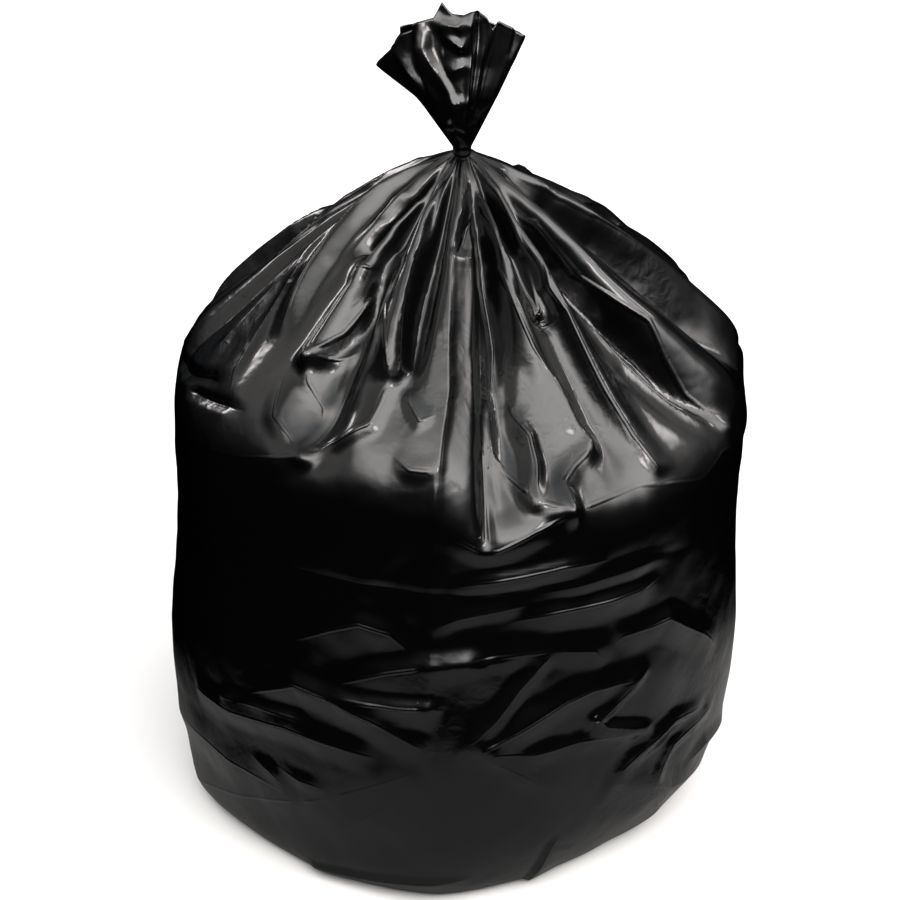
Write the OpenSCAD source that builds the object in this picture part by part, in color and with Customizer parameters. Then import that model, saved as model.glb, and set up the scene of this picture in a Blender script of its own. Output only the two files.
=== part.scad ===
// A full refuse sack of thin black film, standing on its own flat spot. The film is drawn
// together in folds over the full body, pinched into a narrow neck, and stands open above
// it as a flattened crown with a ragged rim. Azimuth 0 is the front, and azimuths grow to
// the viewer's right.

/* [Foot] */
// Width of the flat spot that the full sack stands on
foot_w = 425; // [390:1:460]

/* [Body] */
// Width over the lower bulge, where the contents have settled
low_bulge_w = 538; // [500:1:580]
// Height of the lower bulge above the floor
low_bulge_h = 170; // [140:1:200]
// Width at the waist, between the two bulges
waist_w = 526; // [490:1:550]
// Rise from the lower bulge to the waist
waist_rise = 130; // [100:1:160]
// Width over the upper bulge
high_bulge_w = 528; // [500:1:570]
// Rise from the waist to the upper bulge
high_bulge_rise = 90; // [70:1:120]
// How wide the shoulder is rounded, where the body turns into the cone
shoulder_round = 34; // [20:1:80]

/* [Cone] */
// Rise from the upper bulge to the neck
neck_rise = 258; // [220:1:300]
// Width of the cone halfway up that rise
cone_mid_w = 366; // [330:1:400]
// Straightness of the cone: 1 is straight, and less is fuller
cone_straightness = 0.87; // [0.75:0.01:1]
// Number of small gathers in the film where it enters the neck
gathers = 17; // [9:1:24]
// Depth of those gathers
gather_depth = 2; // [0:0.5:7]

// How much lower the shoulder hangs in front, where the film is drawn straight down
shoulder_drop = 44; // [0:1:60]
// Azimuth at which it hangs lowest
drop_azimuth = 24; // [-60:1:60]

/* [Neck] */
// Width of the twisted neck
neck_w = 19; // [14:1:30]
// Height of the twisted neck
neck_len = 6; // [4:1:16]

/* [Crown] */
// Height of the crown's tallest corner above the neck
crown_h = 134; // [120:1:180]
// Width of the crown from side to side
crown_w = 120; // [90:1:150]
// Depth of the crown from front to back, where it is deepest
crown_d = 66; // [54:1:90]
// Height above the neck at which the crown's left side is full
left_full_h = 80; // [60:1:100]
// Height above the neck at which its right side is full
right_full_h = 108; // [80:1:120]
// Height above the neck at which its front is full
front_full_h = 52; // [44:1:70]
// Depth of its mouth from front to back, where it closes in again at the rim
mouth_d = 24; // [22:1:40]
// How far the rim leans back over that height
crown_lean = 24; // [0:1:30]
// How far a corner of film stands out on the left
corner_reach = 10; // [0:1:14]
// Height of that corner above the neck
corner_h = 76; // [60:1:84]
// Number of pleats around the crown
pleats = 9; // [6:1:12]
// Depth of the crown's pleats at the rim
pleat_depth = 4; // [0:0.5:6]
// Thickness of the crown's wall, which stands in for folded film
wall = 2.4; // [1.6:0.1:3]
// Height above the neck at which the crown's hollow starts
hollow_start = 66; // [56:1:74]

/* [Folds] */
// Share of the photographed fold depth, 1 as the sack stands
fold_share = 1; // [0:0.05:1.2]
// Depth of the crease pressed across the body when the film was packed
cross_crease_depth = 0.5; // [0:0.5:4]
// Height of that crease
cross_crease_h = 338; // [300:1:360]
// Height of the upright packing creases above the film
pack_crease_depth = 2; // [0:0.5:4]
// Number of upright packing creases around the sack
pack_creases = 7; // [4:1:10]

/* [Hidden] */

sectors = 96;
body_rings = 37;
crown_rings = 12;
hollow_rings = 9;
front = -90;
// Power that rounds the skin from the flat spot up to the lower bulge
foot_rounding = 0.45;
// How narrow the low stretch of the shoulder is, and over what share of the cone it fades in
drop_power = 7;
drop_share = 0.8;
// Folds fade out over this height above the floor, and packing creases between these two
foot_fade = 30;
pack_fade = [20, 60];
// Shares of a drawn fold's way down between which it grows, and between which it dies
draw_grows = [0, 0.35];
draw_dies = [0.8, 1.12];
// The same for the gathers, as shares of the cone, and how far they stray sideways
gathers_grow = [0, 0.14];
gathers_die = [0.16, 0.5];
gathers_stray = 40;
// The film never gets narrower than this share of the neck, and ends this close below it
least_neck = 0.8;
neck_gap = 0.02;
// Half the width of the crease across, and half the angle of the upright ones
cross_half = 14;
pack_half = 5;
// How far the first upright crease stands from the front, times their number
pack_phase = 30;
// The rings lie close together over this share of the skin, at this rate
dense_part = 0.14;
dense_rate = 3.1;
// Azimuth of the crown's left corner, half the angle it takes up and half its height
corner_azimuth = -92;
corner_half = 10;
corner_half_h = 26;
// How softly the crown's sides and its front turn upright, as shares of their full height
side_turn = 0.12;
front_turn = 0.25;
// Share of the even pleats, the phases of both pleat waves and how many fewer the second has
even_pleats = 0.62;
pleat_phases = [25, 130];
fewer_pleats = 4;

foot_r = foot_w / 2;
low_bulge_r = low_bulge_w / 2;
waist_r = waist_w / 2;
high_bulge_r = high_bulge_w / 2;
cone_mid_r = cone_mid_w / 2;
neck_r = neck_w / 2;
crown_half_w = crown_w / 2;
crown_half_d = crown_d / 2;
waist_h = low_bulge_h + waist_rise;
high_bulge_h = waist_h + high_bulge_rise;
neck_h = high_bulge_h + neck_rise;
crown_foot_h = neck_h + neck_len;

// Folds that the film is drawn into between the neck and the shoulder. Each row is the
// azimuth at the neck, the azimuth at the foot, the height of the foot, the height of the
// ridge above the film (a valley is negative) and the angles that it takes up to its left
// and to its right.
draws = [
    [-85, -60, 518, 8, 9, 9],
    [-45, -52, 575, -12, 8, 8],
    [-40, -31, 446, -16, 9, 10],
    [-44, -42, 500, 7, 6, 6],
    [-28, -18, 503, 12, 8, 6],
    [-13, -14, 508, -10, 6, 6],
    [-6, -6, 430, 6, 9, 9],
    [15, 8, 400, -15, 8, 8],
    [22, 26, 440, 9, 8, 9],
    [30, 31, 536, -8, 6, 6],
    [40, 41, 416, 10, 6, 8],
    [42, 64, 424, -14, 12, 10],
    [54, 74, 418, 9, 9, 11],
    [81, 87, 450, -15, 10, 9],
    [93, 97, 430, 11, 8, 9],
    [108, 112, 470, -8, 7, 7],
    [121, 126, 412, 13, 10, 10],
    [138, 141, 480, -9, 6, 6],
    [150, 152, 440, 10, 8, 8],
    [166, 168, 500, -9, 6, 6],
    [178, 180, 424, 14, 9, 9],
    [194, 197, 470, -10, 7, 7],
    [208, 212, 436, 11, 9, 9],
    [224, 227, 505, -7, 5, 5],
    [236, 239, 415, 13, 9, 9],
    [252, 254, 478, -9, 7, 7],
    [265, 266, 442, 9, 8, 8],
];

// Slack folds on the full body, at the front. Each row is the azimuth and height of one end,
// the azimuth and height of the other, the height of the ridge and half its width.
slacks = [
    [-68, 150, -20, 172, 5, 16],
    [-50, 182, -33, 221, 4, 16],
    [-33, 221, -6, 190, 5, 18],
    [-27, 228, 2, 268, 5, 26],
    [-35, 262, -13, 296, 4, 22],
    [-24, 222, -2, 224, 5, 14],
    [-83, 88, -38, 101, 4, 24],
    [-8, 150, -77, 28, 5, 40],
    [-4, 140, -31, 12, 4, 36],
    [2, 346, 28, 354, 4, 12],
    [10, 308, 42, 314, 4, 13],
    [-6, 262, 30, 262, 4, 16],
    [35, 266, 69, 196, 6, 18],
    [43, 222, 30, 184, 5, 14],
    [4, 178, 40, 220, 5, 18],
    [6, 176, 46, 156, 3, 14],
    [34, 114, 64, 148, 5, 16],
    [48, 92, 70, 126, 5, 14],
    [35, 112, 80, 40, 5, 20],
    [30, 140, 58, 20, 5, 36],
];
// The same slack folds stand once more around the back, turned by this much
back_turn = 187;

// How the plan changes up the sack: 2 is round, and less draws it in between its corners
plan_shapes = [[0, 1.6], [low_bulge_h, 1.74], [high_bulge_h, 2.15], [neck_h, 1.95]];
// How far the middle of each level lies to the right of the neck
drifts = [[0, -24], [60, -10], [low_bulge_h, -8], [high_bulge_h, -2], [neck_h, 0]];
// How far the crown's rim lies below its tallest corner, by azimuth
rim_drops = [
    [-180, 21],
    [-160, 22],
    [-140, 25],
    [-118, 31],
    [-100, 35],
    [-88, 46],
    [-80, 40],
    [-70, 30],
    [-55, 23],
    [-40, 17],
    [-25, 13],
    [-18, 0],
    [-9, 9],
    [-1, 11],
    [8, 8],
    [15, 8],
    [24, 14],
    [30, 24],
    [36, 17],
    [50, 23],
    [62, 29],
    [76, 34],
    [88, 39],
    [100, 41],
    [118, 37],
    [140, 31],
    [165, 21],
    [180, 21],
];

// Shape helpers: a share of the way between two levels, a soft step, a sharp ridge, a round
// ridge, an angle between -180 and 180, and the smooth lesser of two radii
function share(x, from, to) = max(0, min(1, (x - from) / (to - from)));
function ease(s) = s * s * (3 - 2 * s);
function tent(d, half) = pow(max(0, 1 - abs(d) / half), 1.5);
function bell(d, half) = pow(max(0, 1 - pow(d / half, 2)), 2);
function turn(a) = (a + 540) % 360 - 180;
function smooth_min(a, b, k) =
    let (h = max(0, min(1, 0.5 + 0.5 * (b - a) / k)))
    b + (a - b) * h - k * h * (1 - h);

// Half-width of the full body, of the cone, and of the smooth sack made of both
function body_r(z) =
    foot_r
    + (low_bulge_r - foot_r) * pow(1 - pow(1 - share(z, 0, low_bulge_h), 2), foot_rounding)
    + (waist_r - low_bulge_r) * ease(share(z, low_bulge_h, waist_h))
    + (high_bulge_r - waist_r) * ease(share(z, waist_h, high_bulge_h));
function cone_r(z) =
    neck_r + (cone_mid_r - neck_r) * pow(max(0, neck_h - z) / (neck_rise / 2), cone_straightness);
// The cone hangs lower in front, and the smooth sack is the body where that is narrower
function cone_drop(z, a) =
    shoulder_drop * pow(0.5 + 0.5 * cos(a - drop_azimuth), drop_power)
    * ease(share(neck_h - z, 0, neck_rise * drop_share));
function sack_r(z, a) = smooth_min(cone_r(z + cone_drop(z, a)), body_r(z), shoulder_round);

// Radius of a level's plan at an azimuth, for a half-width of 1
function plan(z, a) =
    let (p = lookup(z, plan_shapes))
    pow(pow(abs(cos(a)), p) + pow(abs(sin(a)), p), -1 / p);

// A drawn fold rises out of the neck, follows its own azimuth down and dies at its foot
function draw_lift(fold, z, a) =
    let (
        way = (neck_h - z) / (neck_h - fold[2]),
        axis = fold[0] + (fold[1] - fold[0]) * min(1, way),
        size = ease(share(way, draw_grows[0], draw_grows[1]))
            * (1 - ease(share(way, draw_dies[0], draw_dies[1]))),
        off = turn(a - axis),
        half = off < 0 ? fold[4] : fold[5]
    )
    fold[3] * size * bell(off, half);

// A slack fold is a soft ridge along the line between its ends, fading towards both
function slack_lift(fold, z, a) =
    let (
        mm = low_bulge_r * PI / 180,
        along = [turn(fold[2] - fold[0]) * mm, fold[3] - fold[1]],
        here = [turn(a - fold[0]) * mm, z - fold[1]],
        s = max(0, min(1, (here * along) / (along * along)))
    )
    fold[4] * sin(180 * (0.1 + 0.8 * s)) * tent(norm(here - s * along), fold[5]);

// Small gathers fill the cone next to the neck
function gather_lift(z, a) =
    let (way = (neck_h - z) / neck_rise)
    gather_depth * ease(share(way, gathers_grow[0], gathers_grow[1]))
    * (1 - ease(share(way, gathers_die[0], gathers_die[1])))
    * cos(gathers * a + gathers_stray * sin(2 * a));

// Creases left by packing: one across the body, and upright ones all round
function crease_lift(z, a) =
    pack_crease_depth * share(z, pack_fade[0], pack_fade[1]) * (1 - share(z, high_bulge_h, neck_h))
    * tent(turn(a * pack_creases + pack_phase) / pack_creases, pack_half)
    - cross_crease_depth * tent(z - cross_crease_h, cross_half);

function sum_of(v) = v * [for (x = v) 1];
function lift(z, a) =
    fold_share * (
        sum_of([for (fold = draws) draw_lift(fold, z, a)])
        + sum_of([for (fold = slacks) slack_lift(fold, z, a) + slack_lift(fold, z, a - back_turn)])
        + gather_lift(z, a)
        + crease_lift(z, a)
    ) * share(z, 0, foot_fade);

// A point of the sack's skin: the smooth sack, moved out along its own slope by the folds
function skin_point(z, a) =
    let (
        r = sack_r(z, a) * plan(z, a),
        slope = (sack_r(z + 1, a) - sack_r(z - 1, a)) / 2,
        out = lift(z, a) / sqrt(1 + slope * slope),
        reach = max(neck_r * least_neck, r + out),
        height = min(z - out * slope, neck_h - neck_gap * (neck_h - z))
    )
    [reach * cos(a + front) + lookup(z, drifts), reach * sin(a + front), height];

// Levels lie close together at the foot, where the skin turns most, and evenly above it
function body_level(i) =
    let (s = i / (body_rings - 1), dense_top = dense_rate * dense_part * dense_part)
    neck_h * (
        s < dense_part
        ? dense_rate * s * s
        : dense_top + (1 - dense_top) * (s - dense_part) / (1 - dense_part)
    );

// The crown is a flattened bell with straight sides, and its front leans back above its
// fullest level
function crown_pleat(a) =
    even_pleats * cos(pleats * a + pleat_phases[0])
    + (1 - even_pleats) * cos((pleats - fewer_pleats) * a + pleat_phases[1]);
function rim_height(a) = crown_h - lookup(turn(a), rim_drops);
function side_full_h(a) = left_full_h + (right_full_h - left_full_h) * (0.5 + 0.5 * sin(a));
function crown_point(s, a, inset) =
    let (
        h = s * rim_height(a),
        wide = smooth_min(h / side_full_h(a), 1, side_turn),
        deep = smooth_min(h / front_full_h, 1, front_turn),
        above = share(h, front_full_h, crown_h),
        corner = corner_reach * bell(turn(a - corner_azimuth), corner_half)
            * tent(h - corner_h, corner_half_h),
        fold = pleat_depth * share(s, 0, 0.8) * crown_pleat(a) + corner - inset,
        half_w = neck_r + (crown_half_w - neck_r) * wide + fold,
        closing = (crown_half_d - mouth_d / 2) * above,
        half_d = neck_r + (crown_half_d - neck_r) * deep + fold - closing
    )
    [
        half_w * cos(a + front),
        half_d * sin(a + front) + crown_lean * above,
        crown_foot_h + h
    ];

azimuths = [for (k = [0:sectors - 1]) 360 * k / sectors];
body_skin = [for (i = [0:body_rings - 1]) [for (a = azimuths) skin_point(body_level(i), a)]];
crown_outside = [for (i = [0:crown_rings]) [for (a = azimuths) crown_point(i / crown_rings, a, 0)]];
hollow_low = hollow_start / crown_h;
crown_inside = [
    for (i = [hollow_rings:-1:0])
        let (s = hollow_low + (1 - hollow_low) * i / hollow_rings)
        [for (a = azimuths) crown_point(s, a, 2 * wall)]
];
skin = concat(body_skin, crown_outside, crown_inside);
base_middle = [lookup(0, drifts), 0, 0];
hollow_middle = [0, 0, crown_foot_h + hollow_start];

// The sack stands with the middle of its outline over the origin
skin_x = [for (ring = skin) for (p = ring) p[0]];
skin_y = [for (ring = skin) for (p = ring) p[1]];
centre = [(min(skin_x) + max(skin_x)) / 2, (min(skin_y) + max(skin_y)) / 2, 0];

function at(ring, k) = ring * sectors + k % sectors;

module refuse_sack() {
    last = len(skin) - 1;
    points = concat([for (ring = skin) for (p = ring) p], [base_middle, hollow_middle]);
    base_tip = (last + 1) * sectors;
    sides = [
        for (i = [0:last - 1])
            for (k = [0:sectors - 1])
                each [
                    [at(i, k), at(i + 1, k), at(i + 1, k + 1)],
                    [at(i, k), at(i + 1, k + 1), at(i, k + 1)]
                ]
    ];
    base = [for (k = [0:sectors - 1]) [base_tip, at(0, k), at(0, k + 1)]];
    hollow = [for (k = [0:sectors - 1]) [base_tip + 1, at(last, k + 1), at(last, k)]];
    color([0.04, 0.04, 0.045])
        translate(-centre)
            polyhedron(points, concat(sides, base, hollow), convexity = 6);
}

refuse_sack();
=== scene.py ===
# %% [markdown]
# A full refuse sack of thin black film, closed by its own twisted neck. The real one is a
# single tube of film, welded flat at its bottom and filled with loose things. Its top is
# drawn together, turned a few times until it is a narrow neck, and what is left of the film
# stands above the neck as an open, pleated crown.
#
# Film can't stretch, yet it bends at a touch. Nearly all of its look follows from that:
# straight folds that run out of the neck, flat facets between sharp creases, and a gloss
# that shows every change of slope. The lesson therefore draws the sack as a grid of points,
# lets the grid relax as film does, lays the sharp creases on it, and gives it a thin
# glossy black finish under a soft studio sky.

# %% Start
import math
import time

import bpy
import numpy as np
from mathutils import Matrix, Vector


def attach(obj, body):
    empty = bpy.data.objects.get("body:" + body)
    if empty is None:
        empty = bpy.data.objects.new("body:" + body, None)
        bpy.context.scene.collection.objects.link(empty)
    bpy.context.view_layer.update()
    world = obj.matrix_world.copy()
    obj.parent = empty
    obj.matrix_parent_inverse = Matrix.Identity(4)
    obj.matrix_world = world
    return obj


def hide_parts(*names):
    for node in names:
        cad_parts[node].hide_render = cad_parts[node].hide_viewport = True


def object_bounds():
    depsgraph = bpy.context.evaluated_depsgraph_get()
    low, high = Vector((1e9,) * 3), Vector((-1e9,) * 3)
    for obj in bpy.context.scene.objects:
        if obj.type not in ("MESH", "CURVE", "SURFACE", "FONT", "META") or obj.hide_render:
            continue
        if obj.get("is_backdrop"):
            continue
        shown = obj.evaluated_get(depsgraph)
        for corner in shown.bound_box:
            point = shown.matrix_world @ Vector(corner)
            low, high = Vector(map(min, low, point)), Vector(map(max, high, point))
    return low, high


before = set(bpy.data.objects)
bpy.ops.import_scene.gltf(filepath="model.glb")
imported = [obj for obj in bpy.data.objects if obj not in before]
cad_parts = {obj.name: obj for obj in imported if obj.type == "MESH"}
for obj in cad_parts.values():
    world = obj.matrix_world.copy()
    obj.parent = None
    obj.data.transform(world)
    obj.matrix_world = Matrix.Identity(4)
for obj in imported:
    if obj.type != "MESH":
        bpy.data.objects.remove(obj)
cad_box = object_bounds()
MM = 0.001
started = time.perf_counter()

# %% [markdown]
# The smooth sack comes first, as a radius for each level. The contents settle and push the
# film out in a low bulge and a high one, with a waist between them. Above the shoulder
# nothing fills the sack, so the film runs straight to the neck as a cone. One curve could
# be drawn by hand for all of this, but separate curves for body and cone, rounded where
# they meet, keep every number a size that can be measured on the real sack. All but the
# shoulder's drop are the same sizes that shape the solid in the frame.

# %% The smooth sack's sizes, in millimetres
FOOT_R = 212.5
LOW_BULGE_R, LOW_BULGE_H = 269.0, 170.0
WAIST_R, WAIST_H = 263.0, 300.0
HIGH_BULGE_R, HIGH_BULGE_H = 264.0, 390.0
FOOT_ROUND_POWER = 0.45
NECK_R, NECK_H = 9.5, 648.0
NECK_RISE = NECK_H - HIGH_BULGE_H
CONE_MID_R, CONE_POWER = 183.0, 0.87
SHOULDER_ROUND = 34.0
# The film hangs lower in front, a little to the right, where it makes a pointed tongue.
SHOULDER_DROP, DROP_AT, DROP_POWER = 51.0, 30.0, 12
DROP_FULL_AT = 0.8
# Seen from above a level isn't a circle: the lower this power, the more of a diamond it is.
PLAN_LEVELS = [0.0, LOW_BULGE_H, HIGH_BULGE_H, NECK_H]
PLAN_POWERS = [1.6, 1.74, 2.15, 1.95]
# The foot stands a little to the left of the neck.
DRIFT_LEVELS = [0.0, 60.0, LOW_BULGE_H, HIGH_BULGE_H, NECK_H]
DRIFTS = [-24.0, -10.0, -8.0, -2.0, 0.0]
FRONT = math.radians(-90.0)
print("neck at", NECK_H, "mm, widest", 2 * LOW_BULGE_R, "mm across")


# %% The smooth sack's surface
def share(x, start, stop):
    """How far x has come from start to stop: (x - start) / (stop - start), held in 0 to 1."""
    return np.clip((x - start) / (stop - start), 0.0, 1.0)


def ease(s):
    """A soft step: 3 s squared less 2 s cubed."""
    return s * s * (3.0 - 2.0 * s)


def smooth_min(a, b, k):
    """The lesser of a and b, rounded over a width of k where they cross."""
    h = np.clip(0.5 + 0.5 * (b - a) / k, 0.0, 1.0)
    return b + (a - b) * h - k * h * (1.0 - h)


def body_r(z):
    """Foot radius, plus a rounded rise to the low bulge, plus soft steps to waist and bulge."""
    rise = 1.0 - (1.0 - share(z, 0.0, LOW_BULGE_H)) ** 2
    return (FOOT_R
            + (LOW_BULGE_R - FOOT_R) * rise ** FOOT_ROUND_POWER
            + (WAIST_R - LOW_BULGE_R) * ease(share(z, LOW_BULGE_H, WAIST_H))
            + (HIGH_BULGE_R - WAIST_R) * ease(share(z, WAIST_H, HIGH_BULGE_H)))


def cone_r(z):
    """Neck radius plus a power of the distance below the neck, which makes a full cone."""
    below = np.maximum(0.0, NECK_H - z) / (NECK_RISE / 2.0)
    return NECK_R + (CONE_MID_R - NECK_R) * below ** CONE_POWER


def shoulder_drop(z, a):
    """How much lower the cone hangs: a power of a raised cosine of the angle from the tongue."""
    lobe = (0.5 + 0.5 * np.cos(np.radians(a - DROP_AT))) ** DROP_POWER
    return SHOULDER_DROP * lobe * ease(share(NECK_H - z, 0.0, NECK_RISE * DROP_FULL_AT))


def sack_r(z, a=180.0):
    """The body where it is narrower and the cone above it, rounded where they meet."""
    return smooth_min(cone_r(z + shoulder_drop(z, a)), body_r(z), SHOULDER_ROUND)


def plan(z, a):
    """Radius of a rounded diamond: (|cos a|^p + |sin a|^p) to the power -1/p."""
    p = np.interp(z, PLAN_LEVELS, PLAN_POWERS)
    return (np.abs(np.cos(a)) ** p + np.abs(np.sin(a)) ** p) ** (-1.0 / p)


def drift(z):
    """How far the middle of a level lies to the right of the neck."""
    return np.interp(z, DRIFT_LEVELS, DRIFTS)


print("radius at the shoulder, mm:", round(float(sack_r(HIGH_BULGE_H)), 1))

# %% [markdown]
# Gathering a wide tube into a narrow neck leaves more film than the neck has room for, and
# the film puts the rest away in folds. Each starts in the neck and runs down the cone until
# the sack is wide enough to need it no more. A ripple of equal waves would be the quick way
# to draw them, and it would look like a cake tin. Real folds are uneven, so each has a row
# of its own: those at the front follow the photographed sack, and the others go on around
# the back in the same rhythm.

# %% Where each gathered fold runs
# Azimuth at the neck and at the foot, level of the foot, height, half angle to left and right.
# Azimuths count from the front, in degrees, and grow to the right. A valley's height is negative.
DRAWS = np.array([
    [-85, -60, 518, 8, 9, 9], [-45, -52, 575, -12, 8, 8], [-40, -31, 446, -16, 9, 10],
    [-44, -42, 500, 7, 6, 6], [-28, -18, 503, 12, 8, 6], [-13, -14, 508, -10, 6, 6],
    [-6, -6, 430, 6, 9, 9], [15, 8, 400, -15, 8, 8], [22, 26, 440, 9, 8, 9], [30, 31, 536, -8, 6, 6],
    [40, 41, 416, 10, 6, 8], [42, 64, 424, -14, 12, 10], [54, 74, 418, 9, 9, 11],
    [81, 87, 450, -15, 10, 9], [93, 97, 430, 11, 8, 9], [108, 112, 470, -8, 7, 7],
    [121, 126, 412, 13, 10, 10], [138, 141, 480, -9, 6, 6], [150, 152, 440, 10, 8, 8],
    [166, 168, 500, -9, 6, 6], [178, 180, 424, 14, 9, 9], [194, 197, 470, -10, 7, 7],
    [208, 212, 436, 11, 9, 9], [224, 227, 505, -7, 5, 5], [236, 239, 415, 13, 9, 9],
    [252, 254, 478, -9, 7, 7], [265, 266, 442, 9, 8, 8],
], dtype=float)
print(len(DRAWS), "folds,", int((DRAWS[:, 3] < 0).sum()), "of them valleys")

# %% [markdown]
# Between the folds the film is creased: where it was packed flat, where a fold dies against
# the filled part, and where something inside pushes. A crease is a straight crest or valley
# that turns where another one meets it. Noise can't make those lines, as they start and end
# for a reason, so they are drawn: each is a run of points, with its own reach to the left
# and to the right of the way it runs. A short reach on one side gives a steep little wall,
# and a long one on the other side a flat facet.
#
# Points at the front were picked in the photograph. A scratch program turned many of them into an
# azimuth and a level on the smooth sack, and the others were placed by hand, as all heights and
# reaches were.

# %% Where each crease runs
# Reach to the left and to the right in millimetres, then azimuth, level and height of each point.
CONE_CREASES = [
    (6, 24, [(-90, 600, 0), (-79, 557, 4), (-70, 539, 5), (-61, 481, 3), (-58, 470, 0)]),
    (11, 20, [(-84, 644, 0), (-78, 614, 5), (-77, 590, 6), (-69, 564, 6), (-60, 528, 3), (-57, 512, 0)]),
    (8, 8, [(-45, 640, -2), (-52, 622, -6), (-53, 603, -8), (-52, 582, -6), (-50, 573, 0)]),
    (5, 9, [(-41, 643, 2), (-47, 619, 4), (-48, 598, 5), (-50, 575, 5), (-47, 567, 4), (-37, 573, 5),
            (-37, 585, 3)]),
    (8, 7, [(-30, 640, -2), (-35, 621, -4), (-38, 606, -5), (-38, 590, -5), (-37, 577, -5),
            (-35, 559, -5), (-33, 544, -5), (-31, 533, -4), (-30, 504, -3), (-30, 482, -4),
            (-31, 461, -3), (-32, 448, 0)]),
    (12, 12, [(-30, 630, 2), (-36, 606, 4), (-34, 580, 5), (-30, 562, 6), (-24, 539, 5), (-18, 508, 4),
              (-18, 502, 0)]),
    (6, 14, [(-37, 585, 3), (-37, 554, 5), (-38, 531, 6), (-42, 507, 5), (-42, 500, 0)]),
    (8, 6, [(-42, 507, 4), (-37, 515, 4), (-33, 523, 2), (-30, 528, 0)]),
    (10, 6, [(-42, 507, 4), (-39, 495, 4), (-34, 486, 3), (-33, 478, 0)]),
    (14, 8, [(-32, 448, 3), (-28, 461, 4), (-22, 473, 5), (-20, 476, 5), (-19, 489, 4), (-18, 505, 3)]),
    (10, 10, [(-32, 448, 3), (-37, 461, 3), (-42, 469, 3), (-48, 500, 0)]),
    (5, 11, [(-20, 606, 0), (-21, 583, 4), (-20, 559, 5), (-18, 538, 5), (-16, 513, 4), (-16, 507, 0)]),
    (8, 6, [(-15, 605, 0), (-16, 578, -5), (-16, 547, -5), (-14, 518, -4), (-13, 510, 0)]),
    (24, 4, [(-22, 634, 2), (-16, 608, 3), (-16, 583, 2), (-16, 570, 0)]),
    (4, 4, [(-39, 578, 0), (-15, 583, 1.2), (-6, 586, 1.2), (9, 583, 1.2), (18, 580, 0)]),
    (8, 5, [(-13, 500, 0), (-13, 494, 3), (-9, 478, 3), (-5, 482, 0)]),
    (8, 6, [(-14, 458, 0), (-10, 447, 3), (-6, 445, 2), (-5, 440, 0)]),
    (8, 7, [(30, 640, -2), (12, 620, -5), (3, 604, -6), (-1, 590, -4), (-3, 584, 0)]),
    (10, 6, [(22, 627, -3), (12, 600, -4), (11, 567, -5), (12, 544, -5), (12, 523, -5), (10, 504, -4),
             (7, 480, 0)]),
    (7, 7, [(7, 560, 0), (6, 520, -4), (5, 453, -6), (5, 400, -6), (5, 383, -3), (5, 379, 0)]),
    (20, 16, [(17, 592, 0), (18, 575, 4), (21, 545, 5), (24, 510, 5), (29, 480, 4), (31, 442, 2),
              (32, 436, 0)]),
    (4, 6, [(20, 622, 2), (20, 598, 4), (20, 583, 3), (20, 578, 0)]),
    (5, 7, [(39, 625, 2), (36, 603, 4), (35, 580, 4), (34, 574, 0)]),
    (6, 6, [(30, 622, -3), (29, 603, -5), (28, 585, -5), (27, 575, 0)]),
    (5, 6, [(35, 580, 0), (34, 554, 4), (33, 539, 4), (31, 536, 3), (28, 548, 3), (26, 564, 3),
            (24, 583, 0)]),
    (8, 8, [(26, 577, 0), (26, 549, -3), (29, 533, -4), (33, 526, -4), (37, 528, 0)]),
    (16, 5, [(44, 622, 2), (42, 598, 3), (41, 573, 4), (38, 552, 4), (40, 531, 5), (40, 512, 5),
             (40, 491, 5), (40, 471, 5), (41, 440, 4), (43, 419, 3), (43, 412, 0)]),
    (12, 7, [(43, 618, -2), (45, 599, -4), (47, 578, -5), (50, 554, -6), (54, 531, -6), (57, 508, -6),
             (59, 491, -6), (60, 469, -5), (63, 440, -4), (66, 421, 0)]),
    (28, 7, [(37, 635, 2), (48, 610, 3), (53, 598, 4), (56, 557, 5), (64, 510, 6), (63, 486, 6),
             (63, 460, 5), (66, 424, 4), (67, 415, 0)]),
    (7, 15, [(47, 565, 0), (49, 551, 4), (52, 526, 5), (54, 494, 5), (58, 460, 5), (66, 422, 4),
             (68, 415, 0)]),
    (10, 7, [(80, 628, -2), (82, 601, -4), (83, 569, -5), (84, 531, -5), (86, 492, -5), (86, 458, -4),
             (86, 440, 0)]),
    (20, 8, [(77, 647, 0), (84, 630, 3), (90, 608, 4), (92, 575, 5), (95, 540, 5), (97, 500, 3),
             (98, 470, 0)]),
    (14, 8, [(6, 500, 0), (6, 491, 2), (6, 463, 3), (10, 443, 4), (15, 417, 4), (22, 403, 4),
             (24, 400, 0)]),
    (7, 12, [(14, 485, 0), (14, 476, 3), (17, 458, 5), (17, 439, 5), (15, 417, 3)]),
    (12, 20, [(24, 404, 0), (22, 403, 5), (14, 393, 6), (7, 380, 6), (4, 380, 5), (0, 390, 2),
              (-6, 400, 0)]),
    (6, 14, [(29, 495, 0), (29, 486, 2), (30, 458, 4), (32, 442, 4), (33, 436, 0)]),
    (8, 8, [(22, 403, 4), (22, 424, 4), (26, 432, 3), (32, 440, 3)]),
    (24, 14, [(22, 403, 4), (38, 411, 1), (53, 398, 2), (61, 409, 3), (75, 404, 2), (88, 410, 0)]),
    (20, 12, [(-88, 437, 0), (-62, 419, 2), (-48, 430, 1), (-33, 447, 3)]),
    (7, 7, [(-92, 441, -3), (-80, 450, -6), (-68, 466, -4), (-62, 470, 0)]),
    (6, 6, [(-74, 446, 0), (-70, 450, -4), (-57, 460, -4), (-50, 464, 0)]),
]
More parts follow.
